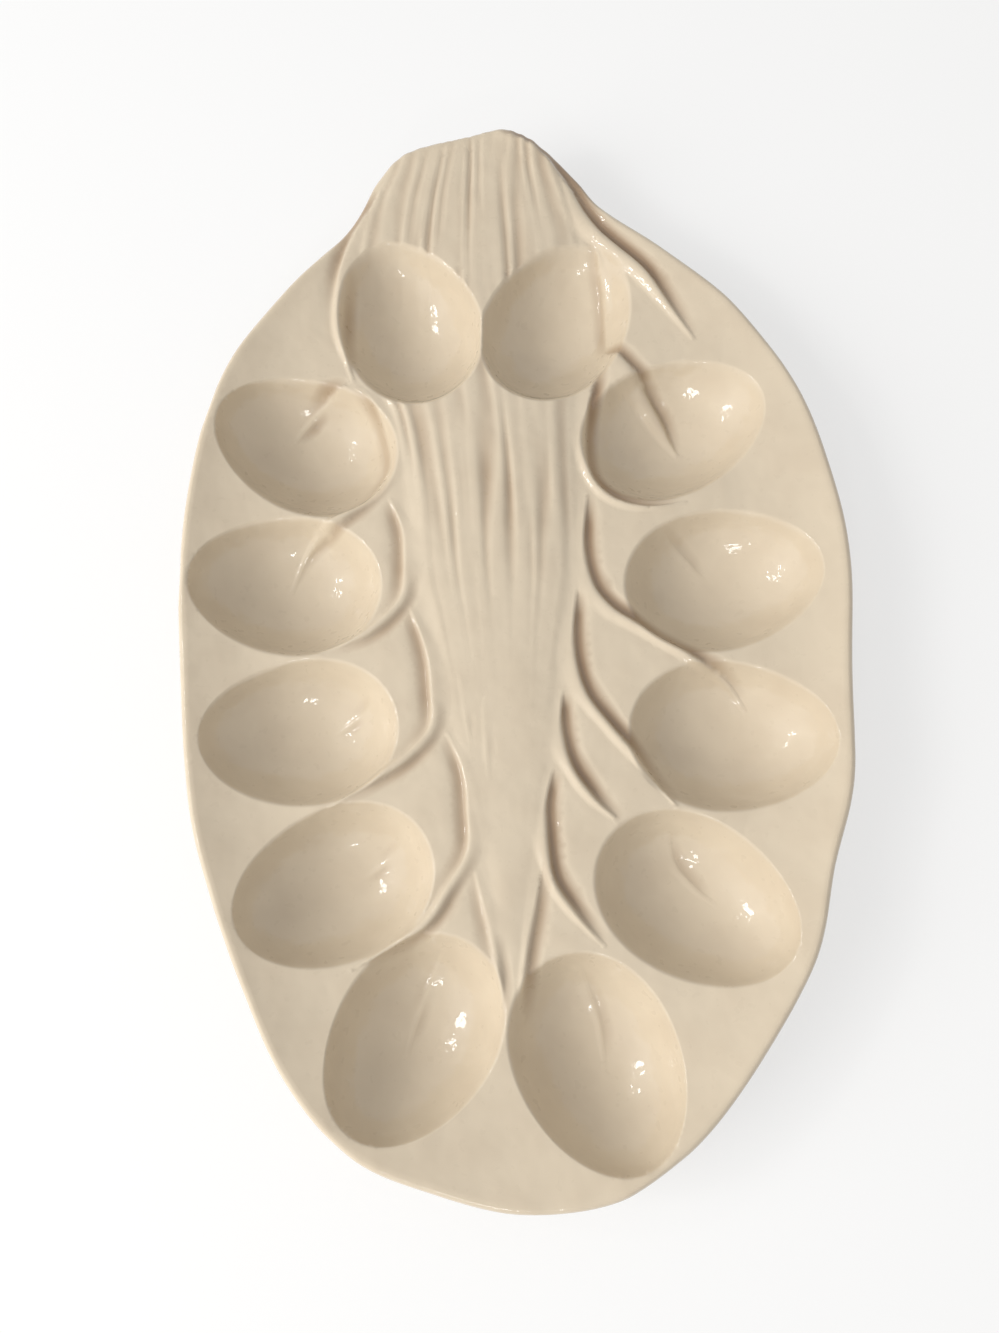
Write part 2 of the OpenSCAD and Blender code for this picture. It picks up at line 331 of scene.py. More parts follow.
@dataclass
class CupRing:
    """The twelve cups, each part of an egg-shaped body of revolution whose axis lies above the leaf.

    A place is a cup's node, its middle in pitches and the turn of its narrow end. The fades say how the
    relief of the leaf dies away round and in a cup.
    """

    length: float = 64.0
    width: float = 49.4
    depth: float = 17.0
    wall: float = 3.6
    narrowing: float = 0.08
    pitch: float = 52.379
    last_cup_y: float = -144.6
    lip: float = 5.0
    fillet: float = 7.0
    lip_share: float = 0.88
    stagger: float = 7.0
    fewest: int = 8
    halvings: int = 40
    fade_depth: float = 6.0
    fade_in: float = -1.0
    fade_out: float = 7.0
    body_loss: float = -0.8
    bead_loss: float = -0.25
    places: tuple[tuple[str, float, float, float], ...] = (
        ("cup_left_1", -0.673, 4.906, 112), ("cup_left_2", -1.363, 4.02, 156),
        ("cup_left_3", -1.488, 3.019, 172), ("cup_left_4", -1.374, 2.017, 183),
        ("cup_left_5", -1.127, 1.037, 202), ("cup_left_6", -0.628, 0.14, 236),
        ("cup_right_6", 0.461, 0, 295), ("cup_right_5", 1.089, 0.922, 328),
        ("cup_right_4", 1.372, 1.92, 355), ("cup_right_3", 1.389, 2.954, 7),
        ("cup_right_2", 1.125, 4.034, 21), ("cup_right_1", 0.381, 4.871, 58))

    @property
    def radius(self) -> float:
        """Largest radius of the egg inside a cup."""
        return ((self.width / 2) ** 2 + self.depth ** 2) / (2 * self.depth)

    @property
    def half_long(self) -> float:
        """Half of the length of the egg inside a cup."""
        return self.length / self.width * self.radius

    @property
    def lift(self) -> float:
        """Height of the egg's axis above the flat of the leaf."""
        return self.radius - self.depth

    def cups(self) -> list[EggCup]:
        """The cups in order round the leaf."""
        return [EggCup(n, x * self.pitch, self.last_cup_y + y * self.pitch, t) for n, x, y, t in self.places]

    def ring(self, cup: EggCup, share: float, spacing: float, grow: float = 0.0) -> Plan:
        """Lays points on one level line of an egg.

        Args:
            cup: The cup.
            share: Size of the line as a share of the egg's widest line, or 0 for the middle alone.
            spacing: Wanted distance between two points.
            grow: Thickness added round the egg.

        Returns:
            Points in plan.
        """
        if not share:
            return np.array([[cup.x, cup.y]])
        long, wide = share * (self.half_long + grow), share * (self.radius + grow)
        near_lip = share > self.lip_share
        count = max(self.fewest, round(math.pi * (long + wide) / (share if near_lip else 1) / spacing))
        a = np.linspace(0, 2 * math.pi, count, endpoint=False) + (0 if near_lip else share * self.stagger)
        return cup.out(long * np.cos(a), wide * np.sin(a) * (1 - self.narrowing * np.cos(a)))

    def ground_line(self, cup: EggCup, height: float, spacing: float) -> Plan:
        """Finds the line where the back of a cup is ground flat.

        Args:
            cup: The cup.
            height: Height of the egg's axis above the table.
            spacing: Wanted distance between two points.

        Returns:
            Points in plan.
        """
        long, wide = self.half_long + self.wall, self.radius + self.wall
        share = math.sqrt(1 - (height / wide) ** 2)
        a = np.linspace(0, 2 * math.pi, round(math.pi * share * (long + wide) / spacing), endpoint=False)
        near, far = np.zeros(len(a)), np.full(len(a), 2 * share * long)
        for _ in range(self.halvings):
            middle = (near + far) / 2
            u, v = middle * np.cos(a) / long, middle * np.sin(a)
            above = (wide * (1 - self.narrowing * u)) ** 2 * (1 - u ** 2) - v ** 2 < height ** 2
            near, far = np.where(above, near, middle), np.where(above, middle, far)
        return cup.out(near * np.cos(a), near * np.sin(a))

    def reach(self, cup: EggCup, points: Plan, grow: float = 0.0) -> np.ndarray:
        """Tells how far out points lie from a cup's middle.

        Args:
            cup: The cup.
            points: Points in plan.
            grow: Thickness added round the egg.

        Returns:
            A share for each point, where 1 is the egg's widest line.
        """
        c, s = math.cos(math.radians(cup.turn)), math.sin(math.radians(cup.turn))
        dx, dy = points[:, 0] - cup.x, points[:, 1] - cup.y
        u, v = (dx * c + dy * s) / (self.half_long + grow), (dy * c - dx * s) / (self.radius + grow)
        return np.hypot(u, v / (1 - self.narrowing * np.clip(u, -1, 1)))


@dataclass
class Stalk:
    """The fluted stalk that runs down the middle of the leaf.

    A station is a place along the leaf, the stalk's middle and half breadth there, and its shares of the
    crown and of the flutes.
    """

    crown: float = 2.0
    side: float = 0.45
    side_soft: float = 0.25
    shoulder_slope: float = 4.0
    shoulder_soft: float = 0.6
    ribs: int = 12
    flute: float = 0.92
    sharpness: float = 1.1
    gather: float = 0.75
    gather_from: float = 85.0
    gather_to: float = 130.0
    drift: float = 60.0
    drift_reach: float = 1.6
    unevenness: float = 3.4
    usual_strength: float = 0.3
    least_flute: float = 0.2
    most_flute: float = 1.2
    flute_soft: float = 0.4
    in_cup: float = 0.16
    # Share of the flute valleys that takes the darker colour, which stands for pooled glaze and for painted
    # shade in the valleys.
    pool: float = 0.5
    first_fluted: int = 3
    stations: tuple[tuple[float, float, float, float, float], ...] = (
        (-124, -1.9, 3.0, 0, 0), (-97.8, -2.2, 4.6, 0.15, 0), (-75.2, -2.3, 9.0, 0.3, 0),
        (-37.6, -3.5, 17.3, 0.5, 0.03), (-18.8, -4.0, 20.2, 0.62, 0.06), (0, -4.6, 24, 0.75, 0.16),
        (15, -5.3, 27.6, 0.9, 0.36), (30, -5.7, 29, 1, 0.72), (45, -6.2, 29.8, 1, 1),
        (75.2, -8.7, 32.9, 1, 1), (94, -11.6, 39.8, 1, 1), (112.8, -12.7, 44.5, 1, 0.9),
        (141, -12.7, 42.2, 1, 0.85), (159.8, -12.1, 37.5, 1, 0.85), (178.6, -10.4, 31.2, 0.9, 0.6),
        (195.5, -9.2, 28.9, 0.8, 0.2))

    def grid(self, across: int, spacing: float) -> Plan:
        """Lays points along the flutes.

        Args:
            across: Points across one rib.
            spacing: Distance between two rows.

        Returns:
            Points in plan.
        """
        table = np.array(self.stations)
        y = np.arange(table[self.first_fluted, 0], table[-1, 0], spacing)
        mid, half = (np.interp(y, table[:, 0], table[:, column]) for column in (1, 2))
        t = np.linspace(-1, 1, self.ribs * across + 1)
        return np.column_stack([(mid[:, None] + half[:, None] * t).ravel(), np.repeat(y, len(t))])


@dataclass
class Stems:
    """The side stems that part from the stalk, and the fine veins that run down into the cups."""

    width: float = 5.0
    height: float = 1.5
    groove: float = 1.35
    form: BeadForm = BeadForm()
    curve_steps: int = 8
    line_step: float = 0.2
    stems: tuple[Stem, ...] = (
        Stem(Hand.RIGHT, 1.25, 1.15, (
            (0, 186), (9.5, 182.5), (15, 177.5), (20.5, 169.5), (25, 162), (29, 154), (35, 145), (42, 137.5),
            (51, 128), (60, 114.5), (68.5, 101)), 1.3),
        Stem(Hand.RIGHT, 0.45, 0.6, ((37, 98), (38, 106), (38.5, 117), (38, 127), (36, 136), (34, 146))),
        Stem(Hand.RIGHT, 1.5, 0.85, ((36, 103), (40, 97), (44, 90), (49.5, 83), (56, 74), (62.5, 63)), 1.25),
        Stem(Hand.RIGHT, 0.8, 1.0, (
            (35, 93), (29, 75), (27.5, 60), (30, 48), (38, 40), (50, 37), (62, 38.5))),
        Stem(Hand.RIGHT, 0.95, 1.0, (
            (28, 43), (26, 24), (28, 10), (34, 1), (42, -5), (54, -13), (64, -19.5), (69, -22), (75, -26.5),
            (80, -34))),
        Stem(Hand.RIGHT, 0.95, 1.0, ((23, 8), (21, -13), (24, -28), (32, -40), (41, -51), (54, -68))),
        Stem(Hand.RIGHT, 0.9, 1.0, ((17, -28), (16, -42), (19, -54), (26, -64), (35, -72))),
        Stem(Hand.RIGHT, 0.9, 1.0, ((13, -54), (10, -67), (10, -80), (12, -91), (19, -101), (28, -111))),
        Stem(Hand.RIGHT, 0.4, 0.7, ((9, -84), (6.5, -96), (4, -107), (2, -118), (1, -129), (1, -138))),
        Stem(Hand.LEFT, 1.0, 0.7, (
            (-45, 165), (-54, 149), (-60, 132), (-61.5, 112), (-58, 98), (-56, 91)), 1.2),
        Stem(Hand.LEFT, 1.1, 0.6, (
            (-55, 88), (-47, 80), (-42, 66), (-42, 56), (-49, 46), (-57, 39.5), (-62, 36.5), (-66.5, 34),
            (-72, 30.5), (-77, 24.5), (-81, 16))),
        Stem(Hand.LEFT, 1.0, 0.65, (
            (-42, 44), (-37, 31), (-36, 16), (-38, 6), (-47, -3), (-56, -8), (-66, -11))),
        Stem(Hand.LEFT, 1.0, 0.65, (
            (-35, 4), (-29, -12), (-27, -24), (-27, -38), (-34, -47), (-44, -54), (-62, -65))),
        Stem(Hand.LEFT, 0.9, 0.65, (
            (-22, -41), (-17, -53), (-15, -66), (-15, -80), (-22, -92), (-31, -104), (-53, -117))),
        Stem(Hand.LEFT, 0.5, 0.4, (
            (-13.5, -85), (-11.5, -94), (-8.5, -105), (-6.5, -116), (-5.5, -128), (-6, -138))),
        Stem(Hand.LEFT, 0.45, 0.7, ((-57.5, 90), (-65.5, 86.5), (-72, 82.5), (-77.5, 78), (-81, 74))),
        Stem(Hand.LEFT, 0.2, 0.3, ((-46, -25), (-54, -32), (-64, -38))),
        Stem(Hand.LEFT, 0.2, 0.3, ((-37, -75), (-45, -83), (-54, -89))),
        Stem(Hand.LEFT, 0.2, 0.3, ((-25, -113), (-30, -124), (-35, -136), (-38, -146))),
        Stem(Hand.RIGHT, 0.25, 0.3, ((52, 30), (62, 22), (70, 14))),
        Stem(Hand.RIGHT, 0.3, 0.4, ((51, -75), (53, -85), (59, -93), (66, -99))),
        Stem(Hand.RIGHT, 0.25, 0.3, ((20, -117), (23, -127), (26, -138), (27, -150))),
        Stem(Hand.LEFT, 0.12, 0.12, ((-18, -20), (-16, -32), (-14, -45))),
        Stem(Hand.LEFT, 0.12, 0.12, ((-9, -24), (-9, -40), (-8, -57))))

    def lines(self) -> list[Plan]:
        """The smooth line of each stem."""
        paths = [np.array(stem.path, dtype=float) for stem in self.stems]
        return [smooth_curve(path, self.curve_steps, False) for path in paths]

    def rows(self, spacing: float, offsets: tuple[float, ...]) -> Plan:
        """Lays rows of points along every stem.

        Args:
            spacing: Distance between two points of a row.
            offsets: Distance of each row from its stem's line.

        Returns:
            Points in plan.
        """
        out = []
        for line in self.lines():
            points = even_steps(line, spacing)
            ahead = np.gradient(points, axis=0)
            side = np.c_[ahead[:, 1], -ahead[:, 0]] / np.linalg.norm(ahead, axis=1, keepdims=True)
            out += [points + side * offset for offset in offsets]
        return np.vstack(out)

    def sets(self) -> dict[str, list[int]]:
        """Sorts the stems into sets, so that two stems of a set never touch.

        Returns:
            The numbers of the stems by the name of their set.
        """
        out = {}
        for hand in Hand:
            same = [i for i, stem in enumerate(self.stems) if stem.hand is hand]
            out |= {f"Stems {hand.name.lower()} {k}": same[k::2] for k in (0, 1)}
        return out

    def lay_out(self) -> dict[str, Object]:
        """Makes the objects whose edges are the stems' lines, with the form of each at its points.

        Returns:
            The objects by the name of their set.
        """
        lines, out = self.lines(), {}
        for name, picked in self.sets().items():
            points, edges, values = [], [], {"rise": [], "crease": [], "hand": [], "breadth": []}
            for i in picked:
                start = len(points)
                points += [(x * MM, y * MM, 0) for x, y in lines[i]]
                edges += [(k, k + 1) for k in range(start, len(points) - 1)]
                stem = self.stems[i]
                for key, value in zip(values, (stem.rise, stem.crease, stem.hand.value, stem.breadth)):
                    values[key] += [float(value)] * len(lines[i])
            mesh = bpy.data.meshes.new(name)
            mesh.from_pydata(points, edges, [])
            for key, numbers in values.items():
                mesh.attributes.new(key, "FLOAT", "POINT").data.foreach_set("value", numbers)
            out[name] = bpy.data.objects.new(name, mesh)
        return out


class Points:
    """Points in plan that are gathered in order, so that a later row keeps clear of what is laid."""

    def __init__(self, first: Plan) -> None:
        """Starts with points that all stay."""
        self.laid: list[Plan] = [first]

    def lay(self, points: Plan, clearance: float) -> None:
        """Adds the points that lie clear of all that is laid.

        Args:
            points: New points.
            clearance: Least distance from what is laid.
        """
        tree = KDTree(sum(len(p) for p in self.laid))
        for i, p in enumerate(np.vstack(self.laid)):
            tree.insert((p[0], p[1], 0), i)
        tree.balance()
        keep = [tree.find((x, y, 0))[2] > clearance for x, y in points]
        self.laid.append(points[keep])

    def all(self) -> Plan:
        """Every point that is laid."""
        return np.vstack(self.laid)


@dataclass(frozen=True)
class FaceRows:
    """How the points of one face lie: along its edge, in rings round each cup, and in an even field.

    Rings are shares of an egg's widest line. Those past the share that is called crowded end where
    another cup is nearer, less the margin.
    """

    room: float
    edge_rows: tuple[float, ...]
    edge_clearance: float
    rings: tuple[float, ...]
    ring_spacing: float
    fine_from: float
    fine_spacing: float
    crowded: float
    margin: float
    ring_clearance: float
    field_spacing: float
    field_clearance: float


# Rings of points round a cup: in its bowl by degrees from its lowest point, at its lip and back by share.
BOWL_ANGLES = (0, 4, 8, 13, 18, 23, 28, 33, 38, 43, 48, 52, 56, 60)
LIP_SHARES = (0.885, 0.902, 0.918, 0.932, 0.945, 0.958, 0.971, 0.983, 0.993, 0.999, 1.006, 1.02, 1.04, 1.065)
BACK_SHARES = (0.345, 0.39, 0.44, 0.5, 0.57, 0.64, 0.7, 0.76, 0.82, 0.87, 0.91, 0.945, 0.975, 1.01, 1.05)
UPPER = FaceRows(
    room=0.9, edge_rows=(1.4, 2.9, 4.6), edge_clearance=0.5,
    rings=tuple(math.sin(math.radians(a)) for a in BOWL_ANGLES) + LIP_SHARES, ring_spacing=1.9,
    fine_from=0.84, fine_spacing=1.05, crowded=0.9, margin=0.004, ring_clearance=0.45,
    field_spacing=2.0, field_clearance=1.15)
LOWER = FaceRows(
    room=1.2, edge_rows=(2.0, 4.5), edge_clearance=0.8,
    rings=BACK_SHARES, ring_spacing=2.4,
    fine_from=1.0, fine_spacing=2.4, crowded=0.7, margin=0.006, ring_clearance=0.35,
    field_spacing=3.2, field_clearance=1.9)


@dataclass
class Blank:
    """The flat blank: the upper and the lower face and the edge between them, in plan."""

    leaf: Leaf
    ring: CupRing
    stalk: Stalk
    stems: Stems
    coarse: bool = False
    coarse_step: float = 2.0
    stem_spacing: float = 1.0
    stem_offsets: tuple[float, ...] = (0, 0.7, -0.7, 1.4, -1.4, 2.1, -2.1, 2.8, -2.8, 3.6, -3.6, 4.6, -4.6)
    stem_clearance: float = 0.6
    lip_zone: tuple[float, float] = (0.8, 1.04)
    flute_points: int = 6
    flute_spacing: float = 2.0
    flute_reach: float = 0.3
    flute_clearance: float = 0.5
    ground_spacing: float = 1.1
    ground_shares: tuple[float, ...] = (0.4, 0.7, 0.9, 1, 1.07, 1.18, 1.32)
    weld: float = 1e-5

    @property
    def step(self) -> float:
        """How many times wider than in the full blank the points lie."""
        return self.coarse_step if self.coarse else 1.0

    @staticmethod
    def inside(points: Plan, line: Plan) -> np.ndarray:
        """Tells which points lie inside a closed line round the middle of the leaf.

        Args:
            points: Points in plan.
            line: Points of the line.

        Returns:
            Whether each point lies inside.
        """
        angle = np.arctan2(line[:, 1], line[:, 0])
        order = np.argsort(angle)
        far, towards = np.linalg.norm(line, axis=1)[order], np.arctan2(points[:, 1], points[:, 0])
        return np.linalg.norm(points, axis=1) < np.interp(towards, angle[order], far, period=2 * math.pi)

    @staticmethod
    def hexagons(half: np.ndarray, spacing: float) -> Plan:
        """Lays an even field of points over the leaf, in rows as far apart as a triangle of it is high.

        Args:
            half: Half of the leaf's width and of its length.
            spacing: Distance between two points.

        Returns:
            Points in plan.
        """
        heights = np.arange(-half[1], half[1], spacing * math.sqrt(0.75))
        rows = [np.arange(-half[0] + (i % 2) * spacing / 2, half[0], spacing) for i in range(len(heights))]
        return np.vstack([np.column_stack([row, np.full(len(row), y)]) for row, y in zip(rows, heights)])

    def start(self, face: FaceRows) -> tuple[Points, Plan]:
        """Starts a face with its boundary and the rows along it.

        Args:
            face: How the points of the face lie.

        Returns:
            The points, and the line that bounds those to come.
        """
        points = Points(self.leaf.inset(self.leaf.edge_radius))
        room = self.leaf.inset(self.leaf.edge_radius + face.room)
        for distance in face.edge_rows:
            points.lay(self.leaf.inset(self.leaf.edge_radius + distance), face.edge_clearance)
        return points, room

    def rings(self, cup: EggCup, face: FaceRows, room: Plan, grow: float = 0.0) -> list[Plan]:
        """Lays the rings of points round one cup.

        Args:
            cup: The cup.
            face: How the points of the face lie.
            room: Line that bounds the points.
            grow: Thickness added round the egg.

        Returns:
            The points of each ring in plan.
        """
        out = []
        for share in face.rings:
            spacing = (face.fine_spacing if share > face.fine_from else face.ring_spacing) * self.step
            points = self.ring.ring(cup, share, spacing, grow)
            if share > face.crowded:
                others = [self.ring.reach(c, points, grow) for c in self.ring.cups() if c != cup]
                points = points[self.ring.reach(cup, points, grow) < np.min(others, axis=0) - face.margin]
            out.append(points[self.inside(points, room)])
        return out

    def fill(self, points: Points, face: FaceRows, room: Plan) -> Plan:
        """Fills what is still free of a face with an even field.

        Args:
            points: What is laid.
            face: How the points of the face lie.
            room: Line that bounds the points.

        Returns:
            Every point of the face in plan, the boundary first.
        """
        even = self.hexagons(self.leaf.half, face.field_spacing * self.step)
        points.lay(even[self.inside(even, room)], face.field_clearance * self.step)
        return points.all()

    def upper(self) -> Plan:
        """Lays the points of the upper face.

        Returns:
            Points in plan, the boundary first.
        """
        points, room = self.start(UPPER)
        cups = self.ring.cups()
        rows = self.stems.rows(self.stem_spacing * self.step, self.stem_offsets)
        nearest = np.min([self.ring.reach(c, rows) for c in cups], axis=0)
        off_lips = (nearest < self.lip_zone[0]) | (nearest > self.lip_zone[1])
        points.lay(rows[self.inside(rows, room) & off_lips], self.stem_clearance)
        bowls = [ring for cup in cups for ring in self.rings(cup, UPPER, room)]
        points.lay(np.vstack(bowls), UPPER.ring_clearance)
        flutes = self.stalk.grid(self.flute_points, self.flute_spacing * self.step)
        clear = np.min([self.ring.reach(c, flutes) for c in cups], axis=0) > self.flute_reach
        points.lay(flutes[clear & self.inside(flutes, room)], self.flute_clearance)
        return self.fill(points, UPPER, room)

    def lower(self) -> Plan:
        """Lays the points of the lower face.

        Returns:
            Points in plan, the boundary first.
        """
        points, room = self.start(LOWER)
        backs = []
        for cup in self.ring.cups():
            height, middle = self.leaf.flat + self.ring.lift, np.array([cup.x, cup.y])
            line = self.ring.ground_line(cup, height, self.ground_spacing * self.step)
            backs += [middle[None]] + [middle + (line - middle) * share for share in self.ground_shares]
            backs += self.rings(cup, LOWER, room, self.ring.wall)
        points.lay(np.vstack(backs), LOWER.ring_clearance)
        return self.fill(points, LOWER, room)

    def triangles(self, points: Plan, edge_count: int) -> np.ndarray:
        """Joins points of a face by triangles.

        Args:
            points: Points of the face, its boundary first.
            edge_count: How many points the boundary has.

        Returns:
            The triangles, which turn counter-clockwise.
        """
        edges = [(i, (i + 1) % edge_count) for i in range(edge_count)]
        made = delaunay_2d_cdt([Vector(p) for p in points], edges, [], 1, self.weld, True)
        out, faces, origin = made[0], made[2], made[3]
        place = np.array([source[0] if source else -1 for source in origin])
        every = len(out) == len(points) and (np.sort(place) == np.arange(len(points))).all()
        assert every, "the boundary crosses itself"
        tri = place[np.array(faces)]
        a, b, c = points[tri[:, 0]], points[tri[:, 1]], points[tri[:, 2]]
        area = (b - a)[:, 0] * (c - a)[:, 1] - (b - a)[:, 1] * (c - a)[:, 0]
        tri[area < 0] = tri[area < 0][:, ::-1]
        return np.delete(tri, self.bridges(tri, edge_count), axis=0)

    @staticmethod
    def bridges(tri: np.ndarray, edge_count: int) -> list[int]:
        """Finds the triangles that bridge a hollow of the boundary from outside.

        Args:
            tri: Triangles that turn counter-clockwise, as the boundary does.
            edge_count: How many points the boundary has.

        Returns:
            The places of these triangles in the list.
        """
        near = np.flatnonzero(tri.max(axis=1) < edge_count).tolist()
        sides = {(a, b): n for n in near for a, b in zip(tri[n].tolist(), np.roll(tri[n], -1).tolist())}
        open_sides = [((i + 1) % edge_count, i) for i in range(edge_count)]
        found = set()
        while open_sides:
            number = sides.get(open_sides.pop())
            if number is not None and number not in found:
                found.add(number)
                corners = tri[number].tolist()
                behind = [(b, a) for a, b in zip(corners, corners[1:] + corners[:1])]
                open_sides += [(a, b) for a, b in behind if b != (a + 1) % edge_count]
        return sorted(found)

    def make(self) -> Object:
        """Makes the blank, in which each point keeps its seat and its share of the wall.

        The seat is the place in plan that gives a point its height. It differs from the point's own place
        only round the rolled edge.

        Returns:
            The blank.
        """
        radius, count, steps = self.leaf.edge_radius, len(self.leaf.outline()), self.leaf.edge_steps
        top, base = self.upper(), self.lower()
        angles = [math.pi / 2 - math.pi * k / steps for k in range(1, steps)]
        rings = [self.leaf.inset(radius * (1 - math.cos(a))) for a in angles]
        places = np.vstack([top, *rings, base])
        seats = np.vstack([top, *[self.leaf.inset(radius) for _ in rings], base])
        on_edge = np.repeat([(1 + math.sin(a)) / 2 for a in angles], count)
        share = np.r_[np.ones(len(top)), on_edge, np.zeros(len(base))]
        starts = [0] + [len(top) + k * count for k in range(len(rings) + 1)]
        quads = [
            (a + i, b + i, b + (i + 1) % count, a + (i + 1) % count)
            for a, b in zip(starts, starts[1:]) for i in range(count)]
        under = self.triangles(base, count)[:, ::-1] + starts[-1]
        faces = self.triangles(top, count).tolist() + quads + under.tolist()
        points, level = (np.c_[plan * MM, np.zeros(len(plan))] for plan in (places, seats))
        mesh = bpy.data.meshes.new("blank")
        mesh.from_pydata(points.tolist(), [], faces)
        mesh.attributes.new("seat", "FLOAT_VECTOR", "POINT").data.foreach_set("vector", level.ravel())
        mesh.attributes.new("face_share", "FLOAT", "POINT").data.foreach_set("value", share)
        mesh.polygons.foreach_set("use_smooth", [True] * len(mesh.polygons))
        log.info("blank: %d points above, %d below, %d faces", len(top), len(base), len(faces))
        return bpy.data.objects.new("casting", mesh)


SHEET_INPUTS = ("X", "Y", "Half width", "Half length", "Flat", "Rim rise", "Rim start", "Wave")
STALK_INPUTS = ("X", "Y", "Crown", "Side", "Flute depth", "Ribs", "Sharpness")
STALK_OUTPUTS = ("Body", "Ribs", "Valley")


@dataclass
class Form:
    """The Geometry Nodes tree that gives the blank the form of the platter."""

    leaf: Leaf
    ring: CupRing
    stalk: Stalk
    stems: Stems

    @staticmethod
    def group(name: str, inputs: dict[str, str], outputs: dict[str, str]) -> tuple[NodeTree, dict]:
        """Starts a node group.

        Args:
            name: Name of the group.
            inputs: Kinds of its inputs by name.
            outputs: Kinds of its outputs by name.

        Returns:
            The group, and its input sockets by name.
        """
        tree = bpy.data.node_groups.new(name, "GeometryNodeTree")
        for way, sockets in (("INPUT", inputs), ("OUTPUT", outputs)):
            for socket, kind in sockets.items():
                tree.interface.new_socket(socket, in_out=way, socket_type=f"NodeSocket{kind}")
        source = add_node(tree, "NodeGroupInput")
        return tree, {socket: source.outputs[socket] for socket in inputs}

    def numbers_group(self, name: str, inputs: Names, outputs: Names) -> tuple[NodeTree, dict]:
        """Starts a node group of plain numbers, as group does."""
        return self.group(name, dict.fromkeys(inputs, "Float"), dict.fromkeys(outputs, "Float"))

    def rim_group(self) -> NodeTree:
        """Works out the sheet's height: flat in the middle, and curving up to the edge with soft waves.

        Returns:
            The group.
        """
        leaf = self.leaf
        tree, known = self.numbers_group("Leaf sheet", SHEET_INPUTS, ("Height",))
        place, scale = ("ShaderNodeCombineXYZ", "X", "Y", 0.0), 1 / (leaf.wave_size * MM)
        work_out(tree, known, {
            "noise": ("ShaderNodeTexNoise", {"Vector": place, "Scale": scale, "Detail": 1.0}),
            # How far out on the leaf the point is: 1 on an oval through its four far ends.
            "across": ("X", "/", "Half width"), "along": ("Y", "/", "Half length"),
            "oval": ("SQRT", ("MULTIPLY_ADD", "along", "along", ("across", "*", "across"))),
            "past start": ("oval", "-", "Rim start"),
            "way out": ("past start", "/", (1.0, "-", "Rim start")),
            "on the rim": ("MAXIMUM", "way out", 0.0), "curve": ("on the rim", "*", "on the rim"),
            "sheet": ("MULTIPLY_ADD", "curve", "Rim rise", "Flat"),
            "swing": (("noise", "-", 0.5), "*", "Wave"),
            "grip": ("MULTIPLY_ADD", ("MINIMUM", "on the rim", 1.0), leaf.wave_at_rim, leaf.wave_inside),
            "height": ("sheet", "+", ("swing", "*", "grip"))})
        add_node(tree, "NodeGroupOutput", {"Height": known["height"]})
        return tree

    def cup_group(self) -> NodeTree:
        """Presses one egg into a height, with a soft lip where the two meet.

        Returns:
            The group.
        """
        names = (
            "Height", "Nearest", "X", "Y", "Middle X", "Middle Y", "Turn", "Long", "Radius", "Narrowing",
            "Axis", "Lip")
        tree, known = self.numbers_group("Egg cup", names, ("Height", "Nearest"))
        work_out(tree, known, {
            # The point's place along the cup and across it.
            "dx": ("X", "-", "Middle X"), "dy": ("Y", "-", "Middle Y"),
            "c": ("COSINE", "Turn"), "s": ("SINE", "Turn"),
            "u": ("MULTIPLY_ADD", "dy", "s", ("dx", "*", "c")),
            "v": (("dy", "*", "c"), "-", ("dx", "*", "s")),
            # The egg's depth below its axis. It turns negative past the edge, which keeps the wall steep.
            "ratio": ("u", "/", "Long"), "round": (1.0, "-", ("ratio", "*", "ratio")),
            "narrow": (1.0, "-", ("ratio", "*", "Narrowing")),
            "wide": ("Radius", "*", "narrow"),
            "section": (("wide", "*", "wide"), "*", "round"),
            "left over": ("section", "-", ("v", "*", "v")),
            "drop": (("SQRT", ("ABSOLUTE", "left over")), "*", ("SIGN", "left over")),
            "bowl": ("Axis", "-", "drop"), "pressed": ("SMOOTH_MIN", "Height", "bowl", "Lip"),
            "nearest": ("MINIMUM", "Nearest", "bowl")})
        add_node(tree, "NodeGroupOutput", {"Height": known["pressed"], "Nearest": known["nearest"]})
        return tree

    def stalk_group(self) -> NodeTree:
        """Works out the stalk's height over the sheet, from its crown, its ribs and its sides.

        Returns:
            The group.
        """
        stalk = self.stalk
        tree, known = self.numbers_group("Fluted stalk", STALK_INPUTS, STALK_OUTPUTS)
        table = np.array(stalk.stations)
        low, high = table[0, 0], table[-1, 0]
        start, end = stalk.gather_from * MM, stalk.gather_to * MM
        work_out(tree, known, {
            "place": ("ShaderNodeMapRange", {"Value": "Y", "From Min": low * MM, "From Max": high * MM}),
            "gather": ("ShaderNodeMapRange", {
                "Value": "Y", "From Min": start, "From Max": end, "To Min": stalk.gather})})
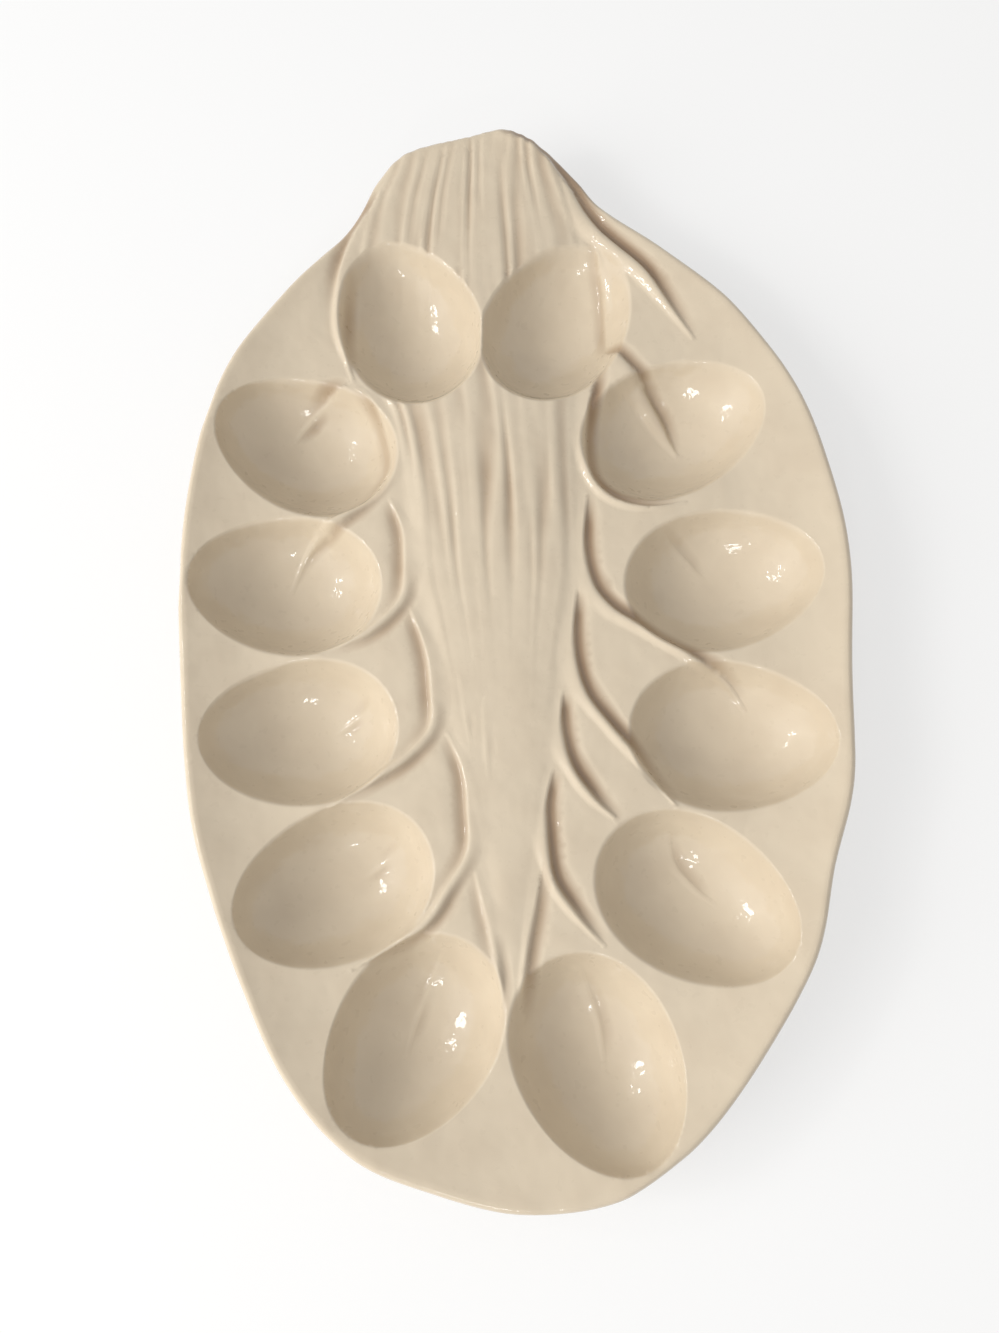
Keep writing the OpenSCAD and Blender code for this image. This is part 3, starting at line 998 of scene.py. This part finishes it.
        # A curve's values lie between 0 and 1, so each column is shifted and divided by its span.
        columns = {
            "middle": (40, 20, MM), "half": (50, 0, MM),
            "crown share": (1, 0, 1.0), "flute share": (1, 0, 1.0)}
        for column, (name, (span, shift, unit)) in enumerate(columns.items(), 1):
            curve = add_node(tree, "ShaderNodeFloatCurve", {"Factor": 1.0, "Value": known["place"]})
            points = curve.mapping.curves[0].points
            values = [((row[0] - low) / (high - low), (row[column] + shift) / span) for row in table]
            points[0].location, points[-1].location = values[0], values[-1]
            for value in values[1:-1]:
                points.new(*value)
            curve.mapping.update()
            work_out(tree, known, {name: ("MULTIPLY_ADD", curve.outputs[0], span * unit, -shift * unit)})
        work_out(tree, known, {
            # The crown is highest in the middle and falls to a soft shoulder at each side.
            "t": (("X", "-", "middle"), "/", "half"),
            "inside": ("SMOOTH_MAX", (1.0, "-", ("t", "*", "t")), 0.0, stalk.side_soft),
            "crown here": (("inside", "*", "Crown"), "*", "crown share"),
            "edge": ("inside", "*", stalk.shoulder_slope),
            "shoulder": ("SMOOTH_MIN", "edge", 1.0, stalk.shoulder_soft),
            "side here": (("shoulder", "*", "Side"), "*", "crown share"),
            # The ribs are counted from the left, and below the first cups fewer of them go on.
            "half ribs": ("Ribs", "*", 0.5),
            "rib place": ("MULTIPLY_ADD", ("t", "*", "gather"), "half ribs", "half ribs"),
            "down the stalk": ("Y", "/", stalk.drift * MM)})
        # Slow noise moves each rib to and fro and makes it stronger or weaker down the stalk.
        for name, scale, level in (("drift", 0.8, 3.0), ("strength", 1.1, 9.0)):
            at = ("ShaderNodeCombineXYZ", "rib place", "down the stalk", level)
            links = {"Vector": at, "Scale": scale, "Detail": 0.0}
            work_out(tree, known, {name: ("ShaderNodeTexNoise", links)})
        work_out(tree, known, {
            "drifted": ("MULTIPLY_ADD", ("drift", "-", 0.5), stalk.drift_reach, "rib place"),
            "wave": ("COSINE", ("drifted", "*", math.pi)),
            "soft valley": ("POWER", ("wave", "*", "wave"), "Sharpness"),
            "uneven": (("strength", "-", stalk.usual_strength), "*", stalk.unevenness),
            "deep enough": ("MAXIMUM", "uneven", stalk.least_flute),
            "not too deep": ("SMOOTH_MIN", "deep enough", stalk.most_flute, stalk.flute_soft),
            # The crests stand over the body, and the valleys cut back to it or a little below it.
            "flute here": ("flute share", "*", "shoulder"),
            "valley": (("soft valley", "*", "flute here"), "*", "not too deep"),
            "crest": ("flute here", "*", "Flute depth"), "cut": ("valley", "*", "Flute depth"),
            "ribs": ("crest", "-", "cut"), "body": ("crown here", "+", "side here")})
        add_node(tree, "NodeGroupOutput", {name: known[name.lower()] for name in STALK_OUTPUTS})
        return tree

    def bead_group(self) -> NodeTree:
        """Works out the height of a stem's bead and of the grooves beside it, from its line.

        Near is the side of the stem's hand, where its root runs into what it parts from.

        Returns:
            The group.
        """
        form = self.stems.form
        names = (
            "X", "Y", "Line X", "Line Y", "Heading X", "Heading Y", "Run", "Rise", "Crease", "Hand",
            "Breadth", "Width", "Bead height")
        tree, known = self.numbers_group("Stem bead", names, ("Bead", "Groove"))
        work_out(tree, known, {
            # How far the point is from the line, and how squarely beside it: 1 is near and -1 is far.
            "dx": ("X", "-", "Line X"), "dy": ("Y", "-", "Line Y"),
            "far": ("SQRT", ("MULTIPLY_ADD", "dy", "dy", ("dx", "*", "dx"))),
            "cross": (("Heading Y", "*", "dx"), "-", ("Heading X", "*", "dy")),
            "signed": ("cross", "*", "Hand"), "side": ("signed", "/", "far"),
            # Half of the bead's breadth, which is less at both ends and on a low stem.
            "to end": (1.0, "-", "Run"), "nearer end": ("MINIMUM", "Run", "to end"),
            "ramp": ("MULTIPLY_ADD", "nearer end", form.end_slope, form.end_breadth),
            "taper": ("SMOOTH_MIN", "ramp", 1.0, form.soft),
            "thin": ("MULTIPLY_ADD", "Rise", form.rise_breadth, form.thin_breadth),
            "broad": (("Width", "*", "thin"), "*", "Breadth"),
            "half": (("broad", "*", "taper"), "*", 0.5),
            # How far the point is out of the root: 0 in it and 1 past it.
            "right hand": ("MULTIPLY_ADD", "Hand", 0.5, 0.5), "left hand": (1.0, "-", "right hand"),
            "root length": ("MULTIPLY_ADD", "right hand", form.root_length_right, form.root_length),
            "steep way": (("Run", "-", "root length"), "*", form.root_slope),
            "way out": ("SMOOTH_MIN", ("MAXIMUM", "steep way", 0.0), 1.0, form.soft),
            # The bead's round section, which is spread to the near side in the root and is lower there.
            "merging": (("MAXIMUM", "side", 0.0), "*", (1.0, "-", "way out")),
            "half there": ("half", "*", ("MULTIPLY_ADD", "merging", form.root_spread, 1.0)),
            "off": ("far", "/", "half there"), "rest": (1.0, "-", ("off", "*", "off")),
            "bump": ("POWER", ("MAXIMUM", "rest", 0.0), form.bump_power),
            "root part": ("MULTIPLY_ADD", "right hand", form.root_height_right, form.root_height),
            "bead part": ("MULTIPLY_ADD", "way out", (1.0, "-", "root part"), "root part"),
            "tall": (("Bead height", "*", "Rise"), "*", "bead part"),
            "bead": ("bump", "*", ("tall", "*", "taper")),
            # The hollow along the bead's near edge.
            "groove half": ("Width", "*", form.groove_half),
            "near slope": ("MULTIPLY_ADD", "right hand", form.near_wall_right, form.near_wall),
            "near wall": ("groove half", "*", "near slope"),
            "far wall": ("groove half", "*", form.far_wall),
            "to groove": ("signed", "-", "half"), "behind": ("signed", "+", "half"),
            "beyond": (("MAXIMUM", "to groove", 0.0), "/", "near wall"),
            "before": (("MINIMUM", "to groove", 0.0), "/", "groove half"),
            "in groove": ("beyond", "+", "before"),
            "groove rest": (1.0, "-", ("in groove", "*", "in groove")),
            "hollow": ("POWER", ("MAXIMUM", "groove rest", 0.0), form.hollow_power),
            # The hollow along its far edge.
            "far beyond": (("MINIMUM", "behind", 0.0), "/", "far wall"),
            "far before": (("MAXIMUM", "behind", 0.0), "/", "groove half"),
            "in behind": ("far beyond", "+", "far before"),
            "behind rest": (1.0, "-", ("in behind", "*", "in behind")),
            "back hollow": ("POWER", ("MAXIMUM", "behind rest", 0.0), form.hollow_power),
            # The far hollow is the deep one, but past its root a left stem's near hollow is.
            "left way out": ("left hand", "*", "way out"),
            "near part": ("MULTIPLY_ADD", "left way out", form.near_groove_out, form.near_groove),
            "far part": ("MULTIPLY_ADD", "left way out", form.far_groove_out, 1.0),
            "both": ("MULTIPLY_ADD", "back hollow", "far part", ("hollow", "*", "near part")),
            # Both hollows fade at the root and the tip, and where the point isn't beside the line.
            "root speed": ("Rise", "*", form.groove_slope),
            "from root": ("MULTIPLY_ADD", "Run", "root speed", form.groove_start),
            "to tip": ("MULTIPLY_ADD", "to end", form.tip_slope, form.tip_start),
            "groove taper": ("SMOOTH_MIN", ("MINIMUM", "from root", "to tip"), 1.0, form.soft),
            "side squared": ("side", "*", "side"),
            "beside": ("MULTIPLY_ADD", "side squared", form.beside_slope, form.beside_start),
            "held": ("SMOOTH_MIN", ("MAXIMUM", "beside", 0.0), 1.0, form.beside_soft),
            "creased": (("both", "*", "groove taper"), "*", "Crease"),
            "groove": ("creased", "*", "held")})
        add_node(tree, "NodeGroupOutput", {"Bead": known["bead"], "Groove": known["groove"]})
        return tree

    def bead(self, tree: NodeTree, group: NodeTree, lines: NodeSocket, known: dict) -> Node:
        """Lays the beads of one set of stems.

        Args:
            tree: Tree that takes the nodes.
            group: Group that gives a bead's form.
            lines: Object of the stems' lines.
            known: Sockets by name, with the seat among them.

        Returns:
            The node of the beads.
        """
        made = add_node(tree, "GeometryNodeObjectInfo", {"Object": lines})
        curves = add_node(tree, "GeometryNodeMeshToCurve", {"Mesh": made.outputs["Geometry"]})
        links = {"Curve": curves.outputs[0], "Length": self.stems.line_step * MM}
        flow = add_node(tree, "GeometryNodeResampleCurve", links, mode="LENGTH").outputs[0]
        run = add_node(tree, "GeometryNodeSplineParameter").outputs["Factor"]
        heading = add_node(tree, "GeometryNodeInputTangent").outputs[0]
        for name, kind, value in (("run", "FLOAT", run), ("heading", "FLOAT_VECTOR", heading)):
            links = {"Geometry": flow, "Name": name, "Value": value}
            flow = add_node(tree, "GeometryNodeStoreNamedAttribute", links, data_type=kind).outputs[0]
        scattered = add_node(tree, "GeometryNodeCurveToPoints", {"Curve": flow}, mode="EVALUATED")
        points = scattered.outputs["Points"]
        links = {"Geometry": points, "Sample Position": known["seat"]}
        nearest = add_node(tree, "GeometryNodeSampleNearest", links).outputs[0]
        numbers = ("run", "rise", "crease", "hand", "breadth")
        values = {"line": ("FLOAT_VECTOR", add_node(tree, "GeometryNodeInputPosition").outputs[0])}
        for name, kind in (dict.fromkeys(numbers, "FLOAT") | {"heading": "FLOAT_VECTOR"}).items():
            stored = add_node(tree, "GeometryNodeInputNamedAttribute", {"Name": name}, data_type=kind)
            values[name] = (kind, stored.outputs["Attribute"])
        found = {}
        for name, (kind, value) in values.items():
            links = {"Geometry": points, "Value": value, "Index": nearest}
            found[name] = add_node(tree, "GeometryNodeSampleIndex", links, data_type=kind).outputs[0]
        links = {"X": known["X"], "Y": known["Y"]} | {name.capitalize(): found[name] for name in numbers}
        links |= {"Width": known["Stem width"], "Bead height": known["Stem height"]}
        for name in ("line", "heading"):
            parts = add_node(tree, "ShaderNodeSeparateXYZ", {0: found[name]})
            links |= {f"{name.capitalize()} {axis}": parts.outputs[axis] for axis in "XY"}
        return add_node(tree, "GeometryNodeGroup", links, node_tree=group)

    def tree(self, glaze: Material) -> NodeTree:
        """Builds the whole tree.

        Args:
            glaze: Material that the form ends in.

        Returns:
            The tree, whose inputs carry the sizes in metres.
        """
        inputs = {"Geometry": "Geometry"} | dict.fromkeys(self.stems.sets(), "Object")
        tree, known = self.group(
            "Platter form", inputs | dict.fromkeys(self.sizes(), "Float"), {"Geometry": "Geometry"})
        for name, kind in (("seat", "FLOAT_VECTOR"), ("face_share", "FLOAT")):
            stored = add_node(tree, "GeometryNodeInputNamedAttribute", {"Name": name}, data_type=kind)
            known[name] = stored.outputs["Attribute"]
        plan = add_node(tree, "ShaderNodeSeparateXYZ", {0: known["seat"]})
        known |= {"X": plan.outputs[0], "Y": plan.outputs[1]}
        links = {name: known[name] for name in SHEET_INPUTS}
        known["sheet"] = add_node(tree, "GeometryNodeGroup", links, node_tree=self.rim_group()).outputs[0]
        links = {name: known[name] for name in STALK_INPUTS}
        stalk = add_node(tree, "GeometryNodeGroup", links, node_tree=self.stalk_group())
        known |= {name.lower(): stalk.outputs[name] for name in STALK_OUTPUTS}
        work_out(tree, known, {
            "Axis": ("Flat", "+", "Axis lift"), "underside": ("sheet", "-", "Wall"),
            "Back long": ("Egg long", "+", "Cup wall"), "Back radius": ("Egg radius", "+", "Cup wall")})
        self.press_cups(tree, known)
        beads = self.bead_group()
        for name in self.stems.sets():
            bead = self.bead(tree, beads, known[name], known)
            for part in ("Bead", "Groove"):
                work_out(tree, known, {part: ("MAXIMUM", bead.outputs[part], known.get(part, 0.0))})
        ring = self.ring
        pressed_in = ("sheet", "-", "upper")
        work_out(tree, known, {
            "in cup": ("MINIMUM", (pressed_in, "/", ring.fade_depth * MM), 1.0),
            "to lip": ("upper nearest", "-", "sheet")})
        links = {
            "Value": known["to lip"], "From Min": ring.fade_in * MM, "From Max": ring.fade_out * MM,
            "To Min": self.stalk.in_cup, "To Max": 1.0}
        clear = add_node(tree, "ShaderNodeMapRange", links, interpolation_type="SMOOTHSTEP")
        known["clear of cups"] = clear.outputs[0]
        work_out(tree, known, {
            # In a cup the body and the ribs nearly fade out, and the beads run on into it.
            "body here": ("body", "*", ("MULTIPLY_ADD", "in cup", ring.body_loss, 1.0)),
            "ribs here": ("ribs", "*", "clear of cups"),
            "bead kept": ("MULTIPLY_ADD", "in cup", ring.bead_loss, 1.0),
            "bead here": ("Bead", "*", "bead kept"), "groove kept": ("Groove", "*", "bead kept"),
            "stem": ("bead here", "-", ("groove kept", "*", "Groove depth")),
            "relief": (("body here", "+", "ribs here"), "+", "stem"), "top": ("upper", "+", "relief"),
            # The cups are ground flat at the table, and each point takes its share of the wall.
            "ground": ("MAXIMUM", "lower", 0.0), "thick": ("top", "-", "ground"),
            "height": ("MULTIPLY_ADD", "thick", "face_share", "ground"),
            # Flute valleys and stem grooves get a share of darker colour, which stands for glaze pooling and
            # for painted shade in these hollows.
            "thin pool": (("valley", "*", "clear of cups"), "*", self.stalk.pool),
            "pool": (("MAXIMUM", "thin pool", "groove kept"), "*", "face_share")})
        at = add_node(tree, "GeometryNodeInputPosition")
        where = add_node(tree, "ShaderNodeSeparateXYZ", {0: at.outputs[0]})
        place = {0: where.outputs[0], 1: where.outputs[1], 2: known["height"]}
        new = add_node(tree, "ShaderNodeCombineXYZ", place).outputs[0]
        moved = add_node(tree, "GeometryNodeSetPosition", {"Geometry": known["Geometry"], "Position": new})
        # The share of pooled glaze and painted shade goes to the glaze as a point attribute.
        links = {"Geometry": moved.outputs[0], "Name": "pool", "Value": known["pool"]}
        stored = add_node(tree, "GeometryNodeStoreNamedAttribute", links, data_type="FLOAT")
        real = add_node(tree, "GeometryNodeRealizeInstances", {"Geometry": stored.outputs[0]})
        dressed = add_node(tree, "GeometryNodeSetMaterial", {"Geometry": real.outputs[0], "Material": glaze})
        add_node(tree, "NodeGroupOutput", {0: dressed.outputs[0]})
        return tree

    def press_cups(self, tree: NodeTree, known: dict) -> None:
        """Presses every cup into the sheet's upper and lower height.

        Args:
            tree: Tree that takes the nodes.
            known: Sockets by name, which takes both heights and the nearest egg over and under the sheet.
        """
        known |= {"upper": known["sheet"], "lower": known["underside"]}
        known |= {"upper nearest": 1.0, "lower nearest": 1.0}
        egg = self.cup_group()
        faces = (("upper", "Egg long", "Egg radius", "Lip"), ("lower", "Back long", "Back radius", "Fillet"))
        for cup in self.ring.cups():
            place = {name: known[name] for name in ("X", "Y", "Narrowing", "Axis")}
            place |= {"Middle X": cup.x * MM, "Middle Y": cup.y * MM, "Turn": math.radians(cup.turn)}
            for face, long, radius, lip in faces:
                links = place | {"Height": known[face], "Long": known[long], "Radius": known[radius]}
                links |= {"Lip": known[lip], "Nearest": known[f"{face} nearest"]}
                pressed = add_node(tree, "GeometryNodeGroup", links, node_tree=egg, label=cup.node)
                known |= {face: pressed.outputs["Height"], f"{face} nearest": pressed.outputs["Nearest"]}

    def sizes(self) -> dict[str, float]:
        """Lists the sizes that the tree takes.

        Returns:
            Lengths in metres, counts and shares, by the name of the tree's input.
        """
        leaf, ring, stalk, stems = self.leaf, self.ring, self.stalk, self.stems
        lengths = {
            "Half width": leaf.half[0], "Half length": leaf.half[1], "Flat": leaf.flat, "Wall": leaf.wall,
            "Rim rise": leaf.rim_rise, "Wave": leaf.wave,
            "Egg long": ring.half_long, "Egg radius": ring.radius, "Axis lift": ring.lift,
            "Cup wall": ring.wall, "Lip": ring.lip, "Fillet": ring.fillet,
            "Crown": stalk.crown, "Side": stalk.side, "Flute depth": stalk.flute,
            "Stem width": stems.width, "Stem height": stems.height, "Groove depth": stems.groove}
        plain = {
            "Rim start": leaf.rim_start, "Narrowing": ring.narrowing, "Ribs": stalk.ribs,
            "Sharpness": stalk.sharpness}
        return {n: float(v) * MM for n, v in lengths.items()} | {n: float(v) for n, v in plain.items()}

    def press(self, blank: Object, glaze: Material) -> Object:
        """Gives a blank its form and makes it a plain mesh.

        Args:
            blank: The flat blank.
            glaze: Its material.

        Returns:
            The blank, with its form in its mesh and no modifier.
        """
        lines = self.stems.lay_out()
        for made in (blank, *lines.values()):
            bpy.context.scene.collection.objects.link(made)
        tree = self.tree(glaze)
        modifier = blank.modifiers.new("Platter form", "NODES")
        modifier.node_group = tree
        values = self.sizes() | lines
        for item in tree.interface.items_tree:
            if item.in_out == "INPUT" and item.name in values:
                modifier[item.identifier] = values[item.name]
        bpy.context.view_layer.update()
        done = bpy.data.meshes.new_from_object(blank.evaluated_get(bpy.context.evaluated_depsgraph_get()))
        blank.modifiers.remove(modifier)
        blank.data = done
        for made in lines.values():
            bpy.data.objects.remove(made)
        return blank


@dataclass(frozen=True)
class IvoryGlaze:
    """Earthenware glaze, dipped and fired glossy.

    A clear, faintly warm glass lies over a white body, so the surface is even and shiny like china. The
    glass runs off the ridges and pools in the grooves, where it looks deeper and warmer; a dark brown
    there stands for this pooling and also for painted shade in the grooves and the flute valleys. Its skin
    has a fine orange peel and slow waves that break up reflections.
    """

    body: str = "#D8C8AF"
    # Dark brown for glaze pooled in the grooves and flute valleys, dark enough to stand for painted shade
    # there too.
    pooled_and_shaded: str = "#97795A"
    roughness: tuple[float, float] = (0.27, 0.35)
    clouds: tuple[float, float] = (-0.03, 0.08)
    peel: float = 3.2
    peel_depth: float = 0.3
    swell: float = 14.0
    swell_depth: float = 1.2

    def material(self) -> Material:
        """Builds the material.

        Returns:
            The glaze.
        """
        glaze = bpy.data.materials.new("ivory_glaze")
        tree = empty_tree(glaze)
        known = {
            "place": add_node(tree, "ShaderNodeTexCoord").outputs["Object"],
            "pool": add_node(tree, "ShaderNodeAttribute", attribute_name="pool").outputs["Fac"]}
        swell_scale, peel_scale = 1 / (self.swell * MM), 1 / (self.peel * MM)
        swell_depth, peel_depth = self.swell_depth * MM, self.peel_depth * MM
        cloud_low, cloud_high = self.clouds
        least, most = self.roughness
        work_out(tree, known, {
            "slow": ("ShaderNodeTexNoise", {"Vector": "place", "Scale": swell_scale, "Detail": 2.0}),
            "fine": ("ShaderNodeTexNoise", {"Vector": "place", "Scale": peel_scale, "Detail": 1.0}),
            # How much of the dark brown goes in: pooled glaze and painted shade, by the share in the
            # attribute.
            "depth": ("ShaderNodeMapRange", {
                "Value": "pool", "From Min": 0.06, "From Max": 0.9, "To Max": 0.85}),
            "cloud": ("ShaderNodeMapRange", {
                "Value": "slow", "From Min": 0.3, "From Max": 0.7,
                "To Min": cloud_low, "To Max": cloud_high}),
            "shine": ("ShaderNodeMapRange", {
                "Value": "fine", "From Min": 0.3, "From Max": 0.7, "To Min": least, "To Max": most}),
            "swell": ("ShaderNodeBump", {"Height": "slow", "Distance": swell_depth, "Strength": 0.6}),
            "peel": ("ShaderNodeBump", {
                "Height": "fine", "Distance": peel_depth, "Strength": 0.8, "Normal": "swell"})})
        both = {0: known["depth"], 1: known["cloud"]}
        share = add_node(tree, "ShaderNodeMath", both, operation="ADD", use_clamp=True)
        tints = {"Factor": share.outputs[0], "A": linear(self.body), "B": linear(self.pooled_and_shaded)}
        colour = add_node(tree, "ShaderNodeMix", tints, data_type="RGBA")
        shader = add_node(tree, "ShaderNodeBsdfPrincipled", {
            "Base Color": colour.outputs["Result"], "Roughness": known["shine"], "IOR": 1.5,
            "Specular IOR Level": 0.25, "Coat Weight": 0.8, "Coat Roughness": 0.07, "Coat IOR": 1.5,
            "Normal": known["swell"], "Coat Normal": known["peel"]})
        add_node(tree, "ShaderNodeOutputMaterial", {"Surface": shader.outputs[0]})
        return glaze


@dataclass(frozen=True)
class BareClay:
    """Fired earthenware without glaze, where the feet were ground flat.

    Grinding leaves the white body matt and slightly grainy, a little darker than under glaze.
    """

    body: str = "#DCCFB8"
    grain: str = "#C8B797"
    grain_size: float = 0.6
    grain_depth: float = 0.1

    def material(self) -> Material:
        """Builds the material.

        Returns:
            The bare clay.
        """
        clay = bpy.data.materials.new("bare_clay")
        tree = empty_tree(clay)
        known = {"place": add_node(tree, "ShaderNodeTexCoord").outputs["Object"]}
        work_out(tree, known, {
            "grain": ("ShaderNodeTexNoise", {
                "Vector": "place", "Scale": 1 / (self.grain_size * MM), "Detail": 3.0}),
            "bump": ("ShaderNodeBump", {
                "Height": "grain", "Distance": self.grain_depth * MM, "Strength": 0.6})})
        tints = {"Factor": known["grain"], "A": linear(self.body), "B": linear(self.grain)}
        colour = add_node(tree, "ShaderNodeMix", tints, data_type="RGBA")
        shader = add_node(tree, "ShaderNodeBsdfPrincipled", {
            "Base Color": colour.outputs["Result"], "Roughness": 0.85, "Normal": known["bump"]})
        add_node(tree, "ShaderNodeOutputMaterial", {"Surface": shader.outputs[0]})
        return clay


@dataclass(frozen=True)
class PaleSweep:
    """Matt white card under the platter, which the camera sees near to white with a soft shadow."""

    card: str = "#F4F3F1"
    glow: float = 0.62

    def material(self) -> Material:
        """Builds the material.

        Returns:
            The card.
        """
        sweep = bpy.data.materials.new("pale_card")
        tree = empty_tree(sweep)
        seen = white_rays(tree, self.glow)
        card = add_node(tree, "ShaderNodeBsdfDiffuse", {"Color": linear(self.card)})
        white = add_node(tree, "ShaderNodeEmission", {"Color": (1, 1, 1, 1), "Strength": 1.0})
        mix = add_node(tree, "ShaderNodeMixShader", {0: seen, 1: card.outputs[0], 2: white.outputs[0]})
        add_node(tree, "ShaderNodeOutputMaterial", {"Surface": mix.outputs[0]})
        return sweep


@dataclass(frozen=True)
class Lamp:
    """A square lamp that faces the platter: its place and side in metres, and its power in watts."""

    name: str
    place: tuple[float, float, float]
    side: float
    power: float
    mirrored: bool = True

    def hang(self) -> None:
        """Hangs the lamp, which the glaze mirrors or not."""
        data = bpy.data.lights.new(self.name, "AREA")
        data.size, data.energy = self.side, self.power
        lamp = bpy.data.objects.new(self.name, data)
        lamp.location = self.place
        lamp.visible_glossy = self.mirrored
        lamp.rotation_euler = (-Vector(self.place)).to_track_quat("-Z", "Y").to_euler()
        bpy.context.scene.collection.objects.link(lamp)


@dataclass
class Studio:
    """The floor, the lamps and the camera, which looks down as the photograph does."""

    camera_at: tuple[float, float, float] = (15.35, -91.95, 352.7)
    camera_aim: tuple[float, float, float] = (-3.96, -18.35, 19.8)
    roll: float = -1.082
    focal_pixels: float = 1000.0
    image_height: float = 1333.0
    sensor_height: float = 36.0
    nearest_seen: float = 10.0
    floor_half: float = 2000.0
    room_glow: float = 0.5
    lamps: tuple[Lamp, ...] = (
        Lamp("soft_box", (-1.15, -0.4, 0.74), 1.0, 13.0, mirrored=False),
        Lamp("wall", (-1.15, -0.4, 0.74), 0.8, 4.0),
        Lamp("left_pane", (-0.98, -0.12, 0.75), 0.14, 1.2),
        Lamp("upper_pane", (-0.82, 0.2, 0.78), 0.1, 0.6),
        Lamp("front_pane", (-0.2, -0.95, 0.75), 0.12, 0.8))

    def floor(self) -> None:
        """Lays the floor that the platter stands on."""
        half = self.floor_half * MM
        corners = [(x * half, y * half, 0) for x, y in ((-1, -1), (1, -1), (1, 1), (-1, 1))]
        mesh = bpy.data.meshes.new("floor")
        mesh.from_pydata(corners, [], [(0, 1, 2, 3)])
        mesh.materials.append(PaleSweep().material())
        floor = bpy.data.objects.new("floor", mesh)
        bpy.context.scene.collection.objects.link(floor)

    def room(self) -> None:
        """Sets a pale room, which lights the platter softly and is seen as white."""
        world = bpy.data.worlds.new("pale_room")
        tree = empty_tree(world)
        seen = white_rays(tree, 1.0)
        room, white = (
            add_node(tree, "ShaderNodeBackground", {"Color": (1, 1, 1, 1), "Strength": strength})
            for strength in (self.room_glow, 1.0))
        mix = add_node(tree, "ShaderNodeMixShader", {0: seen, 1: room.outputs[0], 2: white.outputs[0]})
        add_node(tree, "ShaderNodeOutputWorld", {"Surface": mix.outputs[0]})
        bpy.context.scene.world = world

    def camera(self) -> None:
        """Sets the camera at the photograph's place and angle."""
        data = bpy.data.cameras.new("camera")
        data.sensor_fit, data.sensor_height = "VERTICAL", self.sensor_height
        data.lens = self.focal_pixels / self.image_height * data.sensor_height
        data.clip_start = self.nearest_seen * MM
        camera = bpy.data.objects.new("camera", data)
        place, aim = Vector(self.camera_at) * MM, Vector(self.camera_aim) * MM
        ahead = (aim - place).normalized()
        right = ahead.cross(Vector((0, 1, 0))).normalized()
        up = right.cross(ahead)
        turn = math.radians(self.roll)
        right, up = right * math.cos(turn) + up * math.sin(turn), up * math.cos(turn) - right * math.sin(turn)
        camera.matrix_world = Matrix.Translation(place) @ Matrix((right, up, -ahead)).transposed().to_4x4()
        bpy.context.scene.collection.objects.link(camera)
        bpy.context.scene.camera = camera

    def build(self) -> None:
        """Builds the floor, the lamps, the room and the camera."""
        bpy.context.scene.view_settings.view_transform = "Standard"
        self.floor()
        for lamp in self.lamps:
            lamp.hang()
        self.room()
        self.camera()


class Platter:
    """The whole platter, one glazed casting that is ground bare where it stands."""

    def __init__(self) -> None:
        """Takes the sizes of its parts."""
        self.leaf, self.ring, self.stalk, self.stems = Leaf(), CupRing(), Stalk(), Stems()
        self.ground_within = 0.02

    def build(self) -> Object:
        """Makes the casting and dresses it.

        Returns:
            The casting.
        """
        blank = Blank(self.leaf, self.ring, self.stalk, self.stems, coarse=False).make()
        casting = Form(self.leaf, self.ring, self.stalk, self.stems).press(blank, IvoryGlaze().material())
        mesh = casting.data
        mesh.materials.append(BareClay().material())
        heights = np.empty(len(mesh.vertices) * 3)
        mesh.vertices.foreach_get("co", heights)
        heights = heights.reshape(-1, 3)[:, 2]
        for face in mesh.polygons:
            if max(heights[i] for i in face.vertices) < self.ground_within * MM:
                face.material_index = 1
        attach(casting, "root")
        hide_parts("leaf", *[cup.node for cup in self.ring.cups()])
        log.info("casting: %d faces, %d materials", len(mesh.polygons), len(mesh.materials))
        return casting


def main() -> None:
    """Builds the studio and the platter."""
    logging.basicConfig(level=logging.INFO, format="%(name)s %(message)s")
    Studio().build()
    Platter().build()


if __name__ == "__main__":
    main()
